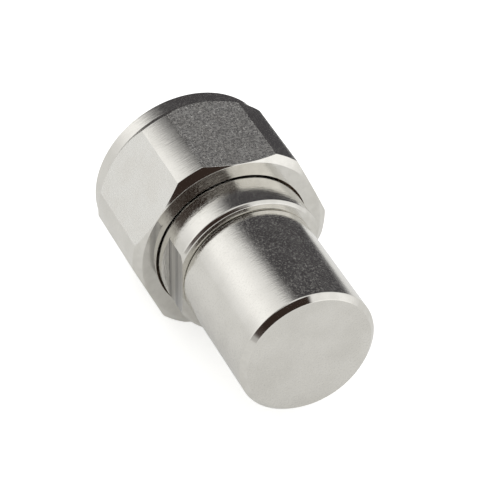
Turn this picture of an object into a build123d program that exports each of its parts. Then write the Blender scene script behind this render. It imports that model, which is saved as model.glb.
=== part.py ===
from build123d import *
import math
import os

# Coaxial terminator: a 50 ohm load closed up in a nickel-plated plug with a hexagonal coupling nut.
# Lengths are millimetres. The axis is X, and +X points out of the nut's mouth.
# X = 0 is the reference plane, the front edge of the outer contact sleeve.
# The part lies on one flat of its nut, and +Z is up.

# Outer contact sleeve, from which the diameters are worked out towards the outside
sleeve_bore_d = 7.0
sleeve_wall = 0.55
sleeve_edge_break = 0.2

# Sealing gasket between the sleeve and the nut, on the front face of the flange
gasket_thickness = 1.2
gasket_width = 2.0            # radial
gasket_sleeve_clearance = 1.25
gasket_nut_clearance = 0.1
gasket_edge_round = 0.3

# Coupling nut, with a 5/8-24 thread bored to its minor diameter
thread_depth = 0.6
thread_end_clearance = 0.3    # between the thread's run-out and the gasket
nut_relief_depth = 0.7        # radial, from the thread's bore to the rear bore
nut_groove_depth = 0.35       # radial, for the retaining ring
nut_groove_wall = 1.05        # metal between the groove and a flat
nut_rear_lip = 0.7            # metal behind the groove
nut_corner_cut = 0.72         # radial, turned off each corner of the hexagon
nut_length = 12.4
mouth_ahead = 0.5             # the mouth stands this far ahead of the reference plane
nut_rear_chamfer = 0.8        # radial width
nut_rear_slope = 35.0         # degrees between the rear chamfer and the rear face
nut_collar_step = 0.8         # radial, from the corners down to the round collar
nut_collar_length = 1.76
nut_front_slope = 34.0        # degrees between the cone behind the collar and the axis
nut_edge_break = 0.2

# Retaining ring, split, which holds the nut on the body
ring_thickness = 0.7
ring_gap = 2.5
ring_clearance = 0.1          # radial, at the bottom of either groove
nut_float = 0.08              # axial play of ring and nut, each way
face_clearance = 0.02

# Connector body
nut_body_clearance = 0.25     # radial, between the boss and the nut's rear bore
body_protrusion = 4.1         # behind the nut's rear face
body_edge_break = 0.3
body_edge_crown = 0.015       # bulge of the rear edge break, left by polishing
body_groove_depth = 0.75
body_lip = 0.58               # metal ahead of the groove
wrench_flat_depth = 0.85
wrench_setback = 1.0          # where the flats begin, behind the nut's rear face
body_turn = -5.7              # degrees by which the body stands turned in the nut
pocket_wall = 1.0             # metal between the flange's front face and the bead
joint_wall = 0.75             # metal between a wrench flat and the joint's thread
thread_clearance = 0.05       # radial

# Support bead and the bush behind it
bead_step = 1.0               # radial, by which the bead's pocket is wider than the sleeve's bore
bead_thickness = 2.0
bead_slit = 0.2
bush_length = 0.6
slip = 0.02                   # radial clearance of seated round parts

# Film resistor and its plated end caps
rod_d = 2.76
cap_wall = 0.2
cap_end = 0.25
cap_length = 1.8
cap_end_gap = 0.2             # between the rear cap and the diaphragm's disc

# Centre contact
pin_tip_d = 1.65
pin_tip_taper = 0.9
pin_nose_d = 0.7
pin_d = 3.04
pin_shoulder_depth = 5.3      # from the reference plane to the shoulder
pin_waist_depth = 0.17        # radial, inside the bead
pin_neck_length = 0.8         # between the bead and the cup
cup_wall = 0.38
cup_floor = 0.4
cup_slot = 0.35

# Load housing
barrel_shoulder = 0.65        # radial, from the joint's thread to the barrel
barrel_length = 13.55         # from the body's rear face to the closed end
barrel_wall = 0.65
barrel_end_wall = 0.8
barrel_end_chamfer = 0.55
barrel_root_break = 0.08
barrel_root_web = 0.9         # the bore stops this far behind the shoulder
spigot_wall = 0.75
spigot_end_gap = 0.2

# Ground diaphragm
diaphragm_thickness = 0.25
diaphragm_room = 0.8          # free depth behind it
diaphragm_seat = 0.7          # width of its seat in the housing
hub_wall = 0.25
hub_length = 2.6
hub_slot = 0.4
window_count = 8
window_width = 0.8
window_hub_margin = 0.7       # radial, from the matching sleeve's tail
window_rim_margin = 0.55      # radial, from the seat

# Matching sleeve, the tapered outer conductor round the resistor
match_wall = 0.5
match_hub_clearance = 0.13    # radial, round the diaphragm's hub
match_flange_length = 0.6

# Diameters that follow from these
sleeve_d = sleeve_bore_d + 2 * sleeve_wall
gasket_inner_d = sleeve_d + 2 * gasket_sleeve_clearance
gasket_outer_d = gasket_inner_d + 2 * gasket_width
thread_minor_d = gasket_outer_d + 2 * gasket_nut_clearance
nut_rear_bore_d = thread_minor_d + 2 * nut_relief_depth
nut_groove_d = nut_rear_bore_d + 2 * nut_groove_depth
nut_flats = nut_groove_d + 2 * nut_groove_wall
nut_corners = nut_flats / math.cos(math.radians(30)) - 2 * nut_corner_cut
body_d = nut_rear_bore_d - 2 * nut_body_clearance
body_groove_d = body_d - 2 * body_groove_depth
ring_inner_d = body_groove_d + 2 * ring_clearance
ring_outer_d = nut_groove_d - 2 * ring_clearance
wrench_flats = body_d - 2 * wrench_flat_depth
joint_thread_d = wrench_flats - 2 * joint_wall
bead_d = sleeve_bore_d + 2 * bead_step
cap_d = rod_d + 2 * (slip + cap_wall)
barrel_d = joint_thread_d + 2 * barrel_shoulder
barrel_bore_d = barrel_d - 2 * barrel_wall
spigot_bore_d = joint_thread_d - 2 * spigot_wall
seat_bore_d = barrel_bore_d - 2 * diaphragm_seat
hub_d = cap_d + 2 * (slip + hub_wall)
match_tail_d = hub_d + 2 * match_hub_clearance

# Stations along the axis
mouth_x = mouth_ahead
nut_rear_x = mouth_x - nut_length
nut_groove_rear_x = nut_rear_x + nut_rear_lip
nut_groove_front_x = nut_groove_rear_x + ring_thickness + 2 * face_clearance
ring_rear_x = nut_groove_rear_x + face_clearance
ring_front_x = ring_rear_x + ring_thickness
body_groove_rear_x = ring_rear_x - nut_float - face_clearance
body_groove_front_x = ring_front_x + nut_float + face_clearance
flange_x = body_groove_front_x + body_lip
body_rear_x = nut_rear_x - body_protrusion
pocket_front_x = flange_x - pocket_wall
bead_rear_x = pocket_front_x - bead_thickness
joint_floor_x = bead_rear_x - bush_length
cup_front_x = bead_rear_x - pin_neck_length
cup_bottom_x = cup_front_x - cup_floor
cup_rear_x = cup_bottom_x - cap_length
barrel_end_x = body_rear_x - barrel_length
barrel_floor_x = barrel_end_x + barrel_end_wall
diaphragm_seat_x = barrel_floor_x + diaphragm_room
diaphragm_front_x = diaphragm_seat_x + diaphragm_thickness
hub_front_x = diaphragm_front_x + hub_length
rear_cap_end_x = diaphragm_front_x + cap_end_gap


def turned(*points):
    """Revolve a closed outline of (x, radius) points about the axis.

    A third number is the sagitta of the arc that then leads up to its point; below zero it bulges
    outwards on a side drawn towards the rear.
    """
    sides = []
    for (x, radius, *_), (next_x, next_radius, *bulge) in zip(points, points[1:] + points[:1]):
        start, end = (x, radius), (next_x, next_radius)
        sides.append(SagittaArc(start, end, *bulge) if bulge else Line(start, end))
    return revolve(make_face(sides), Axis.X)


def ring(inner_d, outer_d, rear_x, front_x):
    """Plain ring between two stations."""
    inner_r, outer_r = inner_d / 2, outer_d / 2
    return turned((rear_x, inner_r), (rear_x, outer_r), (front_x, outer_r), (front_x, inner_r))


def save(part, name):
    """Write one node."""
    part.label = name
    export_step(part, "parts/" + name + ".step")


def coupling_nut():
    """Turned nut with a hexagon milled over it, chamfered at the rear and coned down to a collar."""
    corner_r = nut_corners / 2
    land_r, collar_r = corner_r - nut_rear_chamfer, corner_r - nut_collar_step
    minor_r, bore_r = thread_minor_d / 2, nut_rear_bore_d / 2
    major_r = minor_r + thread_depth
    rear_chamfer = nut_rear_chamfer * math.tan(math.radians(nut_rear_slope))
    front_cone = nut_collar_step / math.tan(math.radians(nut_front_slope))
    collar_x = mouth_x - nut_collar_length
    relief_x = flange_x + gasket_thickness + thread_end_clearance
    blank = turned(
        (nut_rear_x, bore_r),
        (nut_rear_x, land_r),
        (nut_rear_x + rear_chamfer, corner_r),
        (collar_x - front_cone, corner_r),
        (collar_x, collar_r),
        (mouth_x - nut_edge_break, collar_r),
        (mouth_x, collar_r - nut_edge_break),
        (mouth_x, major_r + nut_edge_break),
        (mouth_x - thread_depth - nut_edge_break, minor_r),
        (relief_x + bore_r - minor_r, minor_r),
        (relief_x, bore_r),
        (nut_groove_front_x, bore_r),
        (nut_groove_front_x, nut_groove_d / 2),
        (nut_groove_rear_x, nut_groove_d / 2),
        (nut_groove_rear_x, bore_r),
    )
    hexagon = RegularPolygon(nut_flats / 2, 6, major_radius=False)
    return blank & extrude(Plane.YZ.offset(nut_rear_x) * hexagon, nut_length)


def retaining_ring():
    """Split ring, half in the body's groove and half in the nut's; its gap is at the bottom."""
    whole = ring(ring_inner_d, ring_outer_d, ring_rear_x, ring_front_x)
    gap = Box(2 * ring_thickness, ring_gap, ring_outer_d, align=(Align.CENTER, Align.CENTER, Align.MAX))
    return whole - Pos((ring_rear_x + ring_front_x) / 2, 0, 0) * gap


def sealing_gasket():
    """Soft ring round the sleeve that the mating socket presses on the flange."""
    plain = ring(gasket_inner_d, gasket_outer_d, flange_x, flange_x + gasket_thickness)
    front_edges = plain.edges().group_by(Axis.X)[-1]
    return fillet(front_edges, gasket_edge_round)


def connector_body():
    """Contact sleeve, flange and rear boss, turned from one bar, with two milled wrench flats."""
    sleeve_r, sleeve_bore_r = sleeve_d / 2, sleeve_bore_d / 2
    body_r, pocket_r = body_d / 2, bead_d / 2
    thread_r = joint_thread_d / 2 + thread_clearance
    outline = turned(
        (0, sleeve_bore_r),
        (0, sleeve_r - sleeve_edge_break),
        (-sleeve_edge_break, sleeve_r),
        (flange_x, sleeve_r),
        (flange_x, body_r - body_edge_break),
        (flange_x - body_edge_break, body_r),
        (body_groove_front_x, body_r),
        (body_groove_front_x, body_groove_d / 2),
        (body_groove_rear_x, body_groove_d / 2),
        (body_groove_rear_x, body_r),
        (body_rear_x + body_edge_break, body_r),
        (body_rear_x, body_r - body_edge_break, -body_edge_crown),
        (body_rear_x, thread_r),
        (joint_floor_x, thread_r),
        (joint_floor_x, pocket_r),
        (pocket_front_x, pocket_r),
        (pocket_front_x, sleeve_bore_r),
    )
    flats_x = nut_rear_x - wrench_setback
    chip = Box(flats_x - body_rear_x, body_d, body_d, align=(Align.MIN, Align.MIN, Align.CENTER))
    milled = Pos(body_rear_x, wrench_flats / 2, 0) * chip
    for side in (0, 180):
        outline -= Rot(side, 0, 0) * milled
    return Rot(body_turn, 0, 0) * outline


def centre_pin():
    """Turned contact: tapered tip, shoulder, waist held by the bead, and a slotted cup for the resistor."""
    tip_r, body_r = pin_tip_d / 2, pin_d / 2
    waist_r, bore_r = body_r - pin_waist_depth, cap_d / 2 + slip
    cup_r = bore_r + cup_wall
    pin = turned(
        (0, 0),
        (0, pin_nose_d / 2),
        (-pin_tip_taper, tip_r),
        (-pin_shoulder_depth, tip_r),
        (-pin_shoulder_depth, body_r),
        (pocket_front_x, body_r),
        (pocket_front_x, waist_r),
        (bead_rear_x, waist_r),
        (bead_rear_x, body_r),
        (cup_front_x, body_r),
        (cup_front_x, cup_r),
        (cup_rear_x, cup_r),
        (cup_rear_x, bore_r),
        (cup_bottom_x, bore_r),
        (cup_bottom_x, 0),
    )
    saw = Box(cap_length, 3 * cup_r, cup_slot, align=(Align.MIN, Align.CENTER, Align.CENTER))
    for turn in (45, 135):
        pin -= Rot(turn, 0, 0) * Pos(cup_rear_x, 0, 0) * saw
    return pin


def support_bead():
    """Insulating disc, slit on one side so that it snaps over the pin's waist."""
    waist_d = pin_d - 2 * pin_waist_depth
    disc = ring(waist_d + 2 * slip, bead_d - 2 * slip, bead_rear_x, pocket_front_x)
    slit = Box(2 * bead_thickness, bead_slit, bead_d, align=(Align.CENTER, Align.CENTER, Align.MIN))
    return disc - Pos(bead_rear_x, 0, 0) * slit


def bead_retaining_bush():
    """Short brass bush pressed in behind the bead."""
    return ring(sleeve_bore_d, bead_d - 2 * slip, joint_floor_x, bead_rear_x)


def load_housing():
    """Closed barrel with a threaded spigot that screws into the rear of the body."""
    barrel_r, bore_r, seat_r = barrel_d / 2, barrel_bore_d / 2, seat_bore_d / 2
    spigot_r, spigot_bore_r = joint_thread_d / 2, spigot_bore_d / 2
    spigot_front_x = joint_floor_x - spigot_end_gap
    web_x = body_rear_x - barrel_root_web
    return turned(
        (spigot_front_x, spigot_bore_r),
        (spigot_front_x, spigot_r),
        (body_rear_x, spigot_r),
        (body_rear_x, barrel_r - barrel_root_break),
        (body_rear_x - barrel_root_break, barrel_r),
        (barrel_end_x + barrel_end_chamfer, barrel_r),
        (barrel_end_x, barrel_r - barrel_end_chamfer),
        (barrel_end_x, 0),
        (barrel_floor_x, 0),
        (barrel_floor_x, seat_r),
        (diaphragm_seat_x, seat_r),
        (diaphragm_seat_x, bore_r),
        (web_x, bore_r),
        (web_x + bore_r - spigot_bore_r, spigot_bore_r),
    )


def matching_sleeve():
    """Thin tapered outer conductor; its flange rests on the bush, its tail on the diaphragm."""
    bore_r, tail_r = sleeve_bore_d / 2, match_tail_d / 2
    flange_r = spigot_bore_d / 2 - slip
    flange_rear_x = joint_floor_x - match_flange_length
    return turned(
        (joint_floor_x, bore_r),
        (joint_floor_x, flange_r),
        (flange_rear_x, flange_r),
        (flange_rear_x, bore_r + match_wall),
        (cup_rear_x, bore_r + match_wall),
        (hub_front_x, tail_r + match_wall),
        (diaphragm_front_x, tail_r + match_wall),
        (diaphragm_front_x, tail_r),
        (hub_front_x, tail_r),
        (cup_rear_x, bore_r),
    )


def resistor_rod():
    """Ceramic rod that carries the resistive film."""
    front_x, rear_x = cup_bottom_x - cap_end, rear_cap_end_x + cap_end
    return Pos(front_x, 0, 0) * Rot(0, -90, 0) * Cylinder(
        rod_d / 2, front_x - rear_x, align=(Align.CENTER, Align.CENTER, Align.MIN))


def end_cap(closed_x, towards):
    """Drawn cap pushed over one end of the rod; its skirt points the way given by towards."""
    skirt_r, rod_r = cap_d / 2, rod_d / 2 + slip
    floor_x, open_x = closed_x + towards * cap_end, closed_x + towards * cap_length
    return turned(
        (closed_x, 0),
        (closed_x, skirt_r),
        (open_x, skirt_r),
        (open_x, rod_r),
        (floor_x, rod_r),
        (floor_x, 0),
    )


def ground_diaphragm():
    """Spring disc with a slotted hub that grips the rear cap; windows leave spokes that flex."""
    hub_r = hub_d / 2
    hub_bore_r = hub_r - hub_wall
    rim_r = barrel_bore_d / 2 - slip
    disc = turned(
        (hub_front_x, hub_bore_r),
        (hub_front_x, hub_r),
        (diaphragm_front_x, hub_r),
        (diaphragm_front_x, rim_r),
        (diaphragm_seat_x, rim_r),
        (diaphragm_seat_x, hub_bore_r),
    )
    saw = Box(hub_length / 2, 3 * hub_r, hub_slot, align=(Align.MAX, Align.CENTER, Align.CENTER))
    for turn in (0, 90):
        disc -= Rot(turn, 0, 0) * Pos(hub_front_x, 0, 0) * saw
    window_inner_r = match_tail_d / 2 + match_wall + window_hub_margin
    window_outer_r = seat_bore_d / 2 - window_rim_margin
    window = Box(4 * diaphragm_thickness, window_outer_r - window_inner_r, window_width)
    middle_r = (window_outer_r + window_inner_r) / 2
    for step in range(window_count):
        disc -= Rot(360 / window_count * step, 0, 0) * Pos(diaphragm_seat_x, middle_r, 0) * window
    return disc


os.makedirs("parts", exist_ok=True)
save(coupling_nut(), "coupling_nut")
save(retaining_ring(), "retaining_ring")
save(sealing_gasket(), "sealing_gasket")
save(connector_body(), "connector_body")
save(centre_pin(), "centre_pin")
save(support_bead(), "support_bead")
save(bead_retaining_bush(), "bead_retaining_bush")
save(load_housing(), "load_housing")
save(matching_sleeve(), "matching_sleeve")
save(resistor_rod(), "resistor_rod")
save(end_cap(cup_bottom_x, -1), "front_end_cap")
save(end_cap(rear_cap_end_x, 1), "rear_end_cap")
save(ground_diaphragm(), "ground_diaphragm")
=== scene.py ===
import math

import bmesh
import bpy
from mathutils import Matrix, Vector


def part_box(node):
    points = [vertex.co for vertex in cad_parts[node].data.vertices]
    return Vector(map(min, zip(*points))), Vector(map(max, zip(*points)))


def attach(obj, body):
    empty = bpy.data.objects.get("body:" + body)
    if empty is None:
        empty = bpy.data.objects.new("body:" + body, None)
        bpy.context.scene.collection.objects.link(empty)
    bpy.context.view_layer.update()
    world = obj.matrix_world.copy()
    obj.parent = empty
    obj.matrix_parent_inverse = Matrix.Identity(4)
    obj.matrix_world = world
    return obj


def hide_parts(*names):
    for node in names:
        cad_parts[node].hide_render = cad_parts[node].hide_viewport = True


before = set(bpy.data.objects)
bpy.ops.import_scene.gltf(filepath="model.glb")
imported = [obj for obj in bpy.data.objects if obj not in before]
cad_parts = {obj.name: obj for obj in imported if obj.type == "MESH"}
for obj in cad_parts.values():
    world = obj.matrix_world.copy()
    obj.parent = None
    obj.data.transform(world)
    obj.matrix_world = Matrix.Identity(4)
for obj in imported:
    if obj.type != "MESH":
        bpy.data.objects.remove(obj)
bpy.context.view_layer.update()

# Connector body
# One turned brass piece, nickel plated: contact sleeve, flange, grooved boss and two milled wrench flats.
# Everything else is carried by it, so it comes first.


class Wire:
    """A socket of a node tree. Sums and products of wires add Math nodes."""

    def __init__(self, tree, socket=None):
        self.tree, self.socket = tree, socket

    def node(self, kind, sockets=None, output=0, **settings):
        """Add a node with its settings, and with values or wires in its sockets."""
        made = self.tree.nodes.new("ShaderNode" + kind)
        for key, value in settings.items():
            setattr(made, key, value)
        for key, value in (sockets or {}).items():
            if isinstance(value, Wire):
                self.tree.links.new(value.socket, made.inputs[key])
            else:
                made.inputs[key].default_value = value
        return Wire(self.tree, made.outputs[output])

    def math(self, operation, first, second):
        return self.node("Math", {0: first, 1: second}, operation=operation)

    def __add__(self, other):
        return self.math("ADD", self, other)

    def __radd__(self, other):
        return self.math("ADD", other, self)

    def __sub__(self, other):
        return self.math("SUBTRACT", self, other)

    def __rsub__(self, other):
        return self.math("SUBTRACT", other, self)

    def __mul__(self, other):
        return self.math("MULTIPLY", self, other)

    def __rmul__(self, other):
        return self.math("MULTIPLY", other, self)

    def __pow__(self, other):
        return self.math("POWER", self, other)

    def __abs__(self):
        return self.math("ABSOLUTE", self, 0.0)

    def between(self, low, high):
        """0 below low, 1 above high, and smooth between them."""
        return self.node("MapRange", {"Value": self, "From Min": low, "From Max": high},
                         interpolation_type="SMOOTHSTEP")

    def blend(self, first, second):
        """A colour from first, where this mask is 0, to second, where it is 1."""
        return self.node("Mix", {0: self, 6: first, 7: second}, output=2, data_type="RGBA")

    def bump(self, depth):
        """A bumped normal, where a height of 1 stands for depth metres."""
        return self.node("Bump", {"Strength": 1.0, "Distance": depth, "Height": self})

    def parts(self):
        """The X, Y and Z of a vector."""
        split = self.node("SeparateXYZ", {0: self}).socket.node
        return [Wire(self.tree, part) for part in split.outputs]


def blank_material(name):
    """A material with nothing in it but its output, and a loose wire to build from."""
    material = bpy.data.materials.new(name)
    material.use_nodes = True
    material.node_tree.nodes.clear()
    return material, Wire(material.node_tree)


def show(shader, kind="Material"):
    """Link the shader to the output of its material or world."""
    end = shader.tree.nodes.new("ShaderNodeOutput" + kind)
    shader.tree.links.new(shader.socket, end.inputs["Surface"])


def turning_marks(start, pitch, spread):
    """Heights of the fine grooves that a lathe leaves, along X and the radius. They change slowly around."""
    x, y, z = start.node("TexCoord", output=3).parts()
    radius = (y * y + z * z) ** 0.5
    grooves = start.node("CombineXYZ", {0: x * (1 / pitch), 1: radius * (1 / pitch), 2: y * (1 / spread)})
    return start.node("TexNoise", {"Vector": grooves, "W": z * (1 / spread), "Scale": 1, "Detail": 3,
                                   "Roughness": 0.6}, noise_dimensions="4D")


def grain(start, size, detail=3.0, roughness=0.55):
    """Soft spots of about this size, in metres."""
    place = start.node("TexCoord", output=3)
    return start.node("TexNoise", {"Vector": place, "Scale": 1 / size, "Detail": detail,
                                   "Roughness": roughness})


nickel_light = (0.675, 0.66, 0.62, 1)
nickel_dull = (0.625, 0.61, 0.57, 1)


def turned_nickel(name, pitch=0.00016, depth=7e-6, gloss=0.11, handled=0.4):
    """Nickel over turned brass: bright, with fine grooves and short ripples.

    The haze in patches and the small flecks come from handling, as strong as handled says.
    """
    material, start = blank_material(name)
    marks = turning_marks(start, pitch, 0.004) + turning_marks(start, pitch * 0.9, 0.0006) * 1.4
    clouds = grain(start, 0.0035)
    haze = grain(start, 0.00028, 4.0, 0.7).between(0.4, 0.72) * grain(start, 0.0022).between(0.38, 0.62)
    flecks = grain(start, 0.0002, 2.0).between(0.5, 0.66)
    show(start.node("BsdfPrincipled", {
        "Base Color": clouds.between(0.35, 0.7).blend(nickel_light, nickel_dull),
        "Metallic": 1 - (haze * 0.5 + flecks) * (0.16 * handled), "Roughness": gloss + haze * 0.1,
        "Normal": marks.bump(depth)}))
    return material


def cut_nickel(name, gloss=0.05):
    """Nickel over a chamfer or face that a sharp tool cut last: almost a mirror."""
    material, start = blank_material(name)
    clouds = grain(start, 0.001)
    show(start.node("BsdfPrincipled", {
        "Base Color": clouds.between(0.35, 0.7).blend(nickel_light, nickel_dull),
        "Metallic": 1.0, "Roughness": gloss + clouds * 0.05,
        "Normal": turning_marks(start, 0.00008, 0.003).bump(1e-6)}))
    return material


def corner_rounded(outline, rounding, closed=True):
    """The outline of (x, radius) points as a wire in the XZ plane with rounded corners.

    Each long edge gets a point next to either corner, so that smooth shading stays at the corner.
    """
    shape = bmesh.new()
    corners = [shape.verts.new((x, 0, radius)) for x, radius in outline]
    followers = corners[1:] + (corners[:1] if closed else [])
    for first, second in zip(corners, followers):
        if first.co.z == 0 and second.co.z == 0:
            continue
        chain, along = [first, second], second.co - first.co
        if along.length > rounding * 4 > 0:
            inset = along.normalized() * rounding * 1.5
            chain[1:1] = [shape.verts.new(first.co + inset), shape.verts.new(second.co - inset)]
        for pair in zip(chain, chain[1:]):
            shape.edges.new(pair)
    if rounding:
        bmesh.ops.bevel(shape, geom=[corner for corner in corners if len(corner.link_edges) == 2],
                        offset=rounding, offset_type="OFFSET", segments=2, profile=0.5,
                        affect="VERTICES", material=-1)
    return shape


def spin(shape, steps=240):
    """Spin the wire once about the axis and close it."""
    bmesh.ops.spin(shape, geom=shape.verts[:] + shape.edges[:], cent=(0, 0, 0), axis=(1, 0, 0),
                   dvec=(0, 0, 0), angle=2 * math.pi, steps=steps, use_merge=True,
                   use_normal_flip=False, use_duplicate=False)
    bmesh.ops.remove_doubles(shape, verts=shape.verts, dist=1e-8)
    bmesh.ops.recalc_face_normals(shape, faces=shape.faces)


def give_cuts(shape, chamfers, ends):
    """Set the material of every face that slopes, and of those square to the axis."""
    square, sloping = 0.97, 0.25
    for face in shape.faces:
        if abs(face.normal.x) > square:
            face.material_index = ends
        elif abs(face.normal.x) > sloping:
            face.material_index = chamfers


def placed(name, shape):
    """Make the shape an object of the scene."""
    mesh = bpy.data.meshes.new(name)
    shape.to_mesh(mesh)
    shape.free()
    made = bpy.data.objects.new(name, mesh)
    bpy.context.scene.collection.objects.link(made)
    return made


def piece(name, shape, body, slot, *materials, sharp=25):
    """Make the shape an object that rides on its body. Its edges are hard above this angle in degrees."""
    made = placed(name, shape)
    made.data.shade_smooth()
    made.data.set_sharp_from_angle(angle=math.radians(sharp))
    for material in materials:
        made.data.materials.append(material)
    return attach(made, body)


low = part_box("connector_body")[0]
boss_r = 0.00785
sleeve_r, sleeve_bore_r = 0.00405, 0.0035
flange_x, body_rear_x = -0.0098, low.x
groove_front_x, groove_rear_x, groove_r = -0.01038, -0.01128, 0.0071
joint_bore_r, pocket_r = 0.0063, 0.0045
pocket_front_x, joint_floor_x = -0.0108, -0.0134
sleeve_break, boss_break, corner_round = 0.0002, 0.0003, 0.00006
wrench_flat, wrench_turn, wrench_front_x = 0.007, math.radians(-5.7), -0.0129
cutting_dist, tolerance = 1e-9, 1e-7

shape = corner_rounded([
    (0, sleeve_bore_r), (0, sleeve_r - sleeve_break), (-sleeve_break, sleeve_r), (flange_x, sleeve_r),
    (flange_x, boss_r - boss_break), (flange_x - boss_break, boss_r), (groove_front_x, boss_r),
    (groove_front_x, groove_r), (groove_rear_x, groove_r), (groove_rear_x, boss_r), (wrench_front_x, boss_r),
    (body_rear_x + boss_break, boss_r), (body_rear_x, boss_r - boss_break), (body_rear_x, joint_bore_r),
    (joint_floor_x, joint_bore_r), (joint_floor_x, pocket_r), (pocket_front_x, pocket_r),
    (pocket_front_x, sleeve_bore_r)], corner_round)
spin(shape)


def mill_wrench_flat(shape, side):
    """Cut one flat behind wrench_front_x, then close its step and its face."""
    across = Vector((0, math.cos(wrench_turn), math.sin(wrench_turn))) * side
    rear = [face for face in shape.faces if face.calc_center_median().x < wrench_front_x]
    edges = {edge for face in rear for edge in face.edges}
    corners = {corner for face in rear for corner in face.verts}
    bmesh.ops.bisect_plane(shape, geom=list(corners) + list(edges) + rear, dist=cutting_dist,
                           plane_co=across * wrench_flat, plane_no=across, clear_outer=True)
    open_edges = [edge for edge in shape.edges if edge.is_boundary]
    ends = [corner for corner in shape.verts if abs(corner.co.x - wrench_front_x) < tolerance
            and abs(corner.co.dot(across) - wrench_flat) < tolerance]
    chord = shape.edges.new(ends)
    step = [edge for edge in open_edges
            if all(abs(corner.co.x - wrench_front_x) < tolerance for corner in edge.verts)]
    flat = [edge for edge in open_edges if edge not in step]
    made = bmesh.ops.contextual_create(shape, geom=step + [chord])["faces"]
    made += bmesh.ops.contextual_create(shape, geom=flat + [chord])["faces"]
    return made


def milled_nickel():
    """Nickel over a face cut by the edge of a milling cutter: streaks across the axis, a little dull."""
    streaks_per_metre, ripples_per_metre = 8000, 220
    material, start = blank_material("nickel on the wrench flats")
    x, y, z = start.node("TexCoord", output=3).parts()
    across = start.node("CombineXYZ", {
        0: x * streaks_per_metre, 1: y * ripples_per_metre, 2: z * ripples_per_metre})
    streaks = start.node("TexNoise", {"Vector": across, "Scale": 1.0, "Detail": 3.0, "Roughness": 0.65})
    broad = start.node("TexNoise", {"Vector": across, "Scale": 0.22, "Detail": 2.0}).between(0.3, 0.7)
    show(start.node("BsdfPrincipled", {
        "Base Color": broad.blend((0.27, 0.265, 0.265, 1), (0.5, 0.49, 0.47, 1)),
        "Metallic": 1.0, "Roughness": 0.22 + streaks * 0.2, "Normal": (streaks + broad).bump(7e-6)}))
    return material


# Materials by index: 0 turned, 1 cut edges, 2 flats, 3 faced ends.
give_cuts(shape, chamfers=1, ends=3)
for face in [face for side in (1, -1) for face in mill_wrench_flat(shape, side)]:
    face.material_index = 2 if abs(face.normal.x) < 0.5 else 0
bmesh.ops.recalc_face_normals(shape, faces=shape.faces)
cut = cut_nickel("nickel on cut edges")
faced = cut_nickel("nickel on faced ends", 0.08)
body = piece("connector_body_plated", shape, "body", "nickel_plate",
             turned_nickel("nickel on the body"), cut, milled_nickel(), faced)
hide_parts("connector_body")

# Centre contact
# Brass turned to a tapered pin with a slotted cup at its rear, gold plated.


def clouded(name, size, colours, gloss, dulling, depth, marks=None, spots=None, full=0.75, others=None):
    """A material whose two colours and gloss drift in clouds of this size.

    Its relief, so many metres deep, is turning marks of a pitch and spread, or spots of a size. The second
    colour is pure where the clouds pass full. The other sockets of the shader follow by name.
    """
    material, start = blank_material(name)
    clouds = grain(start, size)
    relief = turning_marks(start, *marks) if marks else grain(start, spots)
    show(start.node("BsdfPrincipled", {
        "Base Color": clouds.between(0.3, full).blend(*colours), "Roughness": gloss + clouds * dulling,
        "Normal": relief.bump(depth), **(others or {})}))
    return material


def finish(node, material):
    """Give a node of the frame its material."""
    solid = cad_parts[node]
    solid.data.materials.clear()
    solid.data.materials.append(material)


metal = {"Metallic": 1.0}
finish("centre_pin", clouded(
    "gold on the contact", 0.0012, ((0.93, 0.69, 0.30, 1), (0.82, 0.58, 0.22, 1)), 0.16, 0.12,
    depth=4e-7, marks=(0.00005, 0.002), others=metal))

# Support bead and its bush
# A slit disc of white fluoroplastic holds the contact, and a short plated bush is pressed in behind it.

finish("support_bead", clouded(
    "fluoroplastic", 0.0015, ((0.86, 0.86, 0.84, 1), (0.79, 0.79, 0.76, 1)), 0.38, 0.15,
    depth=2e-6, marks=(0.00012, 0.003), full=0.8,
    others={"IOR": 1.36, "Subsurface Weight": 0.15, "Subsurface Scale": 0.0008}))
finish("bead_retaining_bush", turned_nickel("nickel on the bush", 0.0001, 8e-7))

# Resistor and its caps
# A ceramic rod under a dull resistive film, with a drawn tinned cap pushed over each end.

finish("resistor_rod", clouded(
    "resistive film", 0.0006, ((0.10, 0.09, 0.08, 1), (0.16, 0.145, 0.13, 1)), 0.5, 0.2,
    depth=3e-6, spots=0.00012))
tin = clouded(
    "tin", 0.0005, ((0.72, 0.72, 0.71, 1), (0.6, 0.6, 0.6, 1)), 0.28, 0.15,
    depth=2e-6, spots=0.0005, others=metal)
finish("front_end_cap", tin)
finish("rear_end_cap", tin)

# Matching sleeve
# The thin tapered outer conductor round the resistor, turned from aluminium and left bare.

finish("matching_sleeve", clouded(
    "bare aluminium", 0.002, ((0.8, 0.8, 0.81, 1), (0.68, 0.68, 0.7, 1)), 0.3, 0.15,
    depth=1.5e-6, marks=(0.00012, 0.004), others=metal))

# Ground diaphragm and retaining ring
# Both are spring bronze: a stamped disc with a slotted hub, and a split ring of flat strip.

# The ring's colour is far darker than bare bronze: partly grease, and partly painted shade where it sits.
for node, name, colours in (
        ("ground_diaphragm", "bright spring bronze", ((0.76, 0.53, 0.31, 1), (0.55, 0.36, 0.2, 1))),
        ("retaining_ring", "greased spring bronze in painted shade", ((0.11, 0.075, 0.05, 1), (0.05, 0.035, 0.025, 1)))):
    finish(node, clouded(name, 0.0015, colours, 0.28, 0.2, depth=2e-6, spots=0.00015, others=metal))

# Load housing
# The closed barrel, turned from brass and nickel plated, with a threaded spigot that screws into the body.
# Its end is flat inside a bright chamfer, and a fine gap is left where it meets the body.

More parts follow.
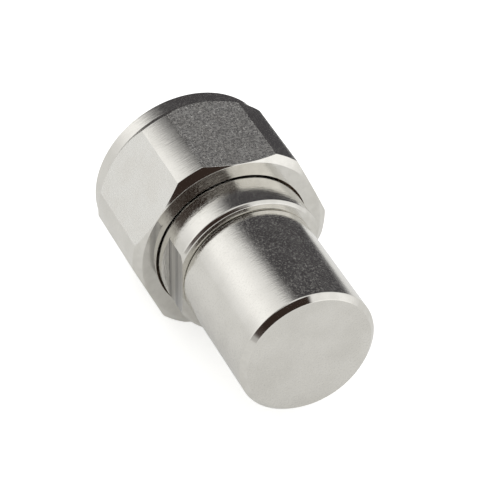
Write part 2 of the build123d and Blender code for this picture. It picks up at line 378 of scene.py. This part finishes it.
low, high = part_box("load_housing")
barrel_end_x, spigot_front_x = low.x, high.x
barrel_r, barrel_wall, end_wall, end_chamfer = 0.0069, 0.00065, 0.0008, 0.00055
root_break, root_gap, root_web = 0.00009, 0.00006, 0.0009
spigot_r, spigot_bore_r = 0.00625, 0.0055
seat_r, seat_depth = 0.00555, 0.0008
bore_r, web_x = barrel_r - barrel_wall, body_rear_x - root_web
floor_x, root_x = barrel_end_x + end_wall, body_rear_x - root_gap

shape = corner_rounded([
    (spigot_front_x, spigot_bore_r), (spigot_front_x, spigot_r), (root_x, spigot_r),
    (root_x, barrel_r - root_break), (root_x - root_break, barrel_r),
    (barrel_end_x + end_chamfer, barrel_r), (barrel_end_x, barrel_r - end_chamfer), (barrel_end_x, 0),
    (floor_x, 0), (floor_x, seat_r), (floor_x + seat_depth, seat_r), (floor_x + seat_depth, bore_r),
    (web_x, bore_r), (web_x + bore_r - spigot_bore_r, spigot_bore_r)], corner_round)
spin(shape)
give_cuts(shape, chamfers=1, ends=0)
barrel = piece("load_housing_plated", shape, "body", "nickel_plate",
               turned_nickel("nickel on the barrel", gloss=0.12, handled=1.0), cut)
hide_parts("load_housing")

# Sealing gasket
# A soft ring of red-brown silicone that lies on the flange, round the sleeve.

finish("sealing_gasket", clouded(
    "silicone", 0.002, ((0.44, 0.075, 0.045, 1), (0.36, 0.055, 0.035, 1)), 0.42, 0.15,
    depth=4e-6, spots=0.0002, full=0.8,
    others={"IOR": 1.41, "Subsurface Weight": 0.1, "Subsurface Scale": 0.0006}))

# Coupling nut
# Turned brass with a hexagon, chamfered at the rear and coned down to a collar at its threaded mouth.
# The flats keep a grainy skin under the nickel, and everything turned is bright.

low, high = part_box("coupling_nut")
mouth_x, nut_rear_x, flat_r = high.x, low.x, high.z
corner_r, corner_cut = 0.01025, 0.0008
land_r = collar_r = corner_r - corner_cut
rear_chamfer = corner_cut * math.tan(math.radians(35))
front_cone = corner_cut / math.tan(math.radians(34))
collar_length, edge_break = 0.00176, 0.0002
collar_x = mouth_x - collar_length
minor_r, thread_depth, thread_pitch = 0.0074, 0.0006, 0.0254 / 24
major_r = minor_r + thread_depth
relief_x, nut_bore_r = -0.0083, 0.00801
nut_groove_front_x, nut_groove_rear_x, nut_groove_r = -0.01046, -0.0112, 0.00845
crumb, edge_round = 0.00003, 0.000018

shape = corner_rounded([
    (relief_x, nut_bore_r), (nut_groove_front_x, nut_bore_r), (nut_groove_front_x, nut_groove_r),
    (nut_groove_rear_x, nut_groove_r), (nut_groove_rear_x, nut_bore_r), (nut_rear_x, nut_bore_r),
    (nut_rear_x, land_r), (nut_rear_x + rear_chamfer, corner_r), (collar_x - front_cone, corner_r),
    (collar_x, collar_r), (mouth_x - edge_break, collar_r), (mouth_x, collar_r - edge_break),
    (mouth_x, major_r + edge_break)], 0, closed=False)
spin(shape)


def cut_thread(shape):
    """Add the thread: a zigzag spun through one turn while it moves on by one pitch.

    A cone opens its start, up to the major radius.
    """
    steps, cone_steps, spare_turns = 120, 8, 2
    crest, root = thread_pitch * 0.25, thread_pitch * 0.125
    slope = (thread_pitch - crest - root) / 2
    front_x, rear_x = mouth_x - edge_break, relief_x + thread_depth
    cone_x = front_x - thread_depth
    turns = math.ceil((front_x - rear_x) / thread_pitch) + spare_turns + 1
    thread = bmesh.new()
    corners = []
    for turn in range(turns):
        x = rear_x + (turn - spare_turns) * thread_pitch
        corners += [thread.verts.new((x, 0, minor_r)), thread.verts.new((x + crest, 0, minor_r)),
                    thread.verts.new((x + crest + slope, 0, major_r)),
                    thread.verts.new((x + crest + slope + root, 0, major_r))]
    for first, second in zip(corners, corners[1:]):
        thread.edges.new((first, second))
    bmesh.ops.spin(thread, geom=thread.verts[:] + thread.edges[:], cent=(0, 0, 0), axis=(1, 0, 0),
                   dvec=(thread_pitch / steps, 0, 0), angle=2 * math.pi, steps=steps,
                   use_merge=False, use_normal_flip=False, use_duplicate=False)
    bmesh.ops.remove_doubles(thread, verts=thread.verts, dist=tolerance)
    cuts = [(cone_x + thread_depth * step / cone_steps, 1) for step in range(cone_steps + 1)]
    for x, side in cuts + [(rear_x, -1)]:
        bmesh.ops.bisect_plane(
            thread, geom=thread.verts[:] + thread.edges[:] + thread.faces[:], dist=cutting_dist,
            plane_co=(x, 0, 0), plane_no=(side, 0, 0), clear_outer=x in (front_x, rear_x))
    for corner in thread.verts:
        radius = math.hypot(corner.co.y, corner.co.z)
        opened = max(radius, minor_r + corner.co.x - cone_x)
        corner.co.yz = corner.co.yz * (opened / radius)
    carried = bpy.data.meshes.new("thread")
    thread.to_mesh(carried)
    thread.free()
    shape.from_mesh(carried)
    bpy.data.meshes.remove(carried)
    for bore_x, thread_x in ((mouth_x, front_x), (relief_x, rear_x)):
        rims = [edge for edge in shape.edges if edge.is_boundary
                and all(min(abs(corner.co.x - bore_x), abs(corner.co.x - thread_x)) < tolerance
                        for corner in edge.verts)]
        bmesh.ops.bridge_loops(shape, edges=rims)


def cut_hexagon(shape):
    """Cut the six flats and give their faces, one each."""
    made = []
    for side in range(6):
        turn = math.radians(60 * side)
        outwards = Vector((0, math.sin(turn), math.cos(turn)))
        cut = bmesh.ops.bisect_plane(
            shape, geom=shape.verts[:] + shape.edges[:] + shape.faces[:], dist=cutting_dist,
            plane_co=outwards * flat_r, plane_no=outwards, clear_outer=True)["geom_cut"]
        rim = [part for part in cut if isinstance(part, bmesh.types.BMEdge)]
        made += bmesh.ops.contextual_create(shape, geom=rim)["faces"]
    return made


def break_edges(shape):
    """Merge the crumbs that the cuts left, then round every edge that turns by more than 15 degrees."""
    rims = {corner for face in shape.faces if face.material_index == 2 for corner in face.verts}
    bmesh.ops.remove_doubles(shape, verts=list(rims), dist=crumb)
    sharp = [edge for edge in shape.edges if edge.is_manifold and edge.calc_face_angle() > math.radians(15)]
    bmesh.ops.bevel(shape, geom=sharp, offset=edge_round, offset_type="OFFSET", segments=2, profile=0.5,
                    affect="EDGES", clamp_overlap=False, material=-1)


give_cuts(shape, chamfers=1, ends=3)
for face in cut_hexagon(shape):
    face.material_index = 2
break_edges(shape)
cut_thread(shape)
bmesh.ops.recalc_face_normals(shape, faces=shape.faces)


def drawn_nickel():
    """Nickel over the grainy skin of drawn hexagon bar."""
    material, start = blank_material("nickel on the flats")
    skin = grain(start, 0.0002, 2.0, 0.6).between(0.35, 0.68)
    glints = grain(start, 0.00022, 1.0).between(0.62, 0.72)
    show(start.node("BsdfPrincipled", {
        "Base Color": grain(start, 0.002).between(0.35, 0.7).blend((0.7, 0.69, 0.655, 1), nickel_light),
        "Metallic": 0.93 - skin * 0.19 - glints * 0.35, "Roughness": 0.22 + skin * 0.1,
        "Normal": skin.bump(5e-6)}))
    return material


nut = piece("coupling_nut_plated", shape, "nut", "nickel_plate",
            turned_nickel("nickel on the nut"), cut, drawn_nickel(), faced, sharp=5)
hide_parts("coupling_nut")

# Table and studio
# The part lies on a white table in a white room. Cards that only metal sees stand round it: bright ones at
# the left and the right, a dark one behind, and two dark ones side by side where the camera stands.
# The table glows a little, so that it looks as white as the room, to the eye more than in the metal.

table_r, eye_glow, metal_glow = 1.2, 0.6, 0.18
part_centre = Vector((-0.0145, 0, 0))

table = bmesh.new()
bmesh.ops.create_circle(table, cap_ends=True, segments=96, radius=table_r)
bmesh.ops.translate(table, verts=table.verts, vec=(0, 0, -flat_r))
floor = placed("table", table)

material, start = blank_material("white table")
rays = start.node("LightPath").socket.node.outputs
seen, mirrored, through = (Wire(start.tree, rays[kind]) for kind in (
    "Is Camera Ray", "Is Glossy Ray", "Is Transmission Ray"))
paper = start.node("BsdfDiffuse", {"Color": (0.72, 0.72, 0.713, 1)})
strength = seen * eye_glow + start.math("MAXIMUM", mirrored, through) * metal_glow
glow = start.node("Emission", {"Color": (1, 1, 0.99, 1), "Strength": strength})
show(start.node("AddShader", {0: paper, 1: glow}))
floor.data.materials.append(material)


def card(name, azimuth, elevation, roll, distance, width, height, fade, strength, colour=(1, 1, 1, 1)):
    """A card that faces the part. Only metal and glass see it.

    Its angles are in degrees. It fades out towards its edges, over this share of its half width and height.
    """
    panel = bmesh.new()
    panel.loops.layers.uv.new("UVMap")
    bmesh.ops.create_grid(panel, x_segments=1, y_segments=1, size=0.5, calc_uvs=True)
    bmesh.ops.scale(panel, verts=panel.verts, vec=(width, height, 1))
    az, el = math.radians(azimuth), math.radians(elevation)
    outwards = Vector((math.cos(el) * math.cos(az), math.cos(el) * math.sin(az), math.sin(el)))
    level = Vector((0, 0, 1)).cross(outwards).normalized()
    rolled = Matrix.Rotation(math.radians(roll), 3, outwards)
    facing = Matrix((rolled @ level, rolled @ outwards.cross(level), outwards)).transposed()
    bmesh.ops.rotate(panel, verts=panel.verts, matrix=facing)
    bmesh.ops.translate(panel, verts=panel.verts, vec=outwards * distance + part_centre)
    material, start = blank_material(name)
    u, v, w = start.node("TexCoord", output=2).parts()
    inside = (1 - abs(u * 2 - 1)).between(0, fade) * (1 - abs(v * 2 - 1)).between(0, fade)
    lit = start.node("Emission", {"Color": colour, "Strength": strength})
    show(start.node("MixShader", {0: inside, 1: start.node("BsdfTransparent"), 2: lit}))
    made = placed(name, panel)
    made.data.materials.append(material)
    made.visible_camera = made.visible_diffuse = made.visible_shadow = False


# Azimuth, elevation and roll, then distance, width and height, then fade, strength and colour.
card("left_card", 55.4, 28.0, 1.4, 0.120, 0.694, 0.114, 0.99, 1.34)
card("back_card", -24.7, 23.8, -53.3, 0.061, 0.298, 0.142, 0.46, 0.08, (1.0, 0.96, 1.03, 1))
card("front_card", 158.9, 29.6, 18.5, 0.188, 0.283, 0.129, 0.2, 0.045, (1.0, 0.68, 0.56, 1))
card("wing_card", 123.0, 37.9, 9.0, 0.129, 0.068, 0.295, 0.68, 0.14, (1.0, 0.85, 0.8, 1))
card("right_card", -138.3, 16.7, 60.0, 0.273, 0.292, 0.460, 0.8, 1.35)

world = bpy.data.worlds.new("white room")
bpy.context.scene.world = world
world.use_nodes = True
world.node_tree.nodes.clear()
show(Wire(world.node_tree).node("Background", {"Color": (1, 1, 1, 1), "Strength": 1.0}), "World")

# Camera
# Above and behind the barrel, which points at it, from about a quarter of a metre.

camera = bpy.data.cameras.new("camera")
camera.sensor_width, camera.lens = 36.0, 190.43
camera.clip_start = 0.01
view = bpy.data.objects.new("camera", camera)
bpy.context.scene.collection.objects.link(view)
right, up, back = (-0.4087, -0.9069, 0.1029), (0.5883, -0.1756, 0.7894), (-0.6978, 0.3831, 0.6052)
stands = Vector((-0.18755, 0.09513, 0.1519))
view.matrix_world = Matrix.LocRotScale(stands, Matrix((right, up, back)).transposed(), None)
bpy.context.scene.camera = view
bpy.context.scene.view_settings.view_transform = "Standard"
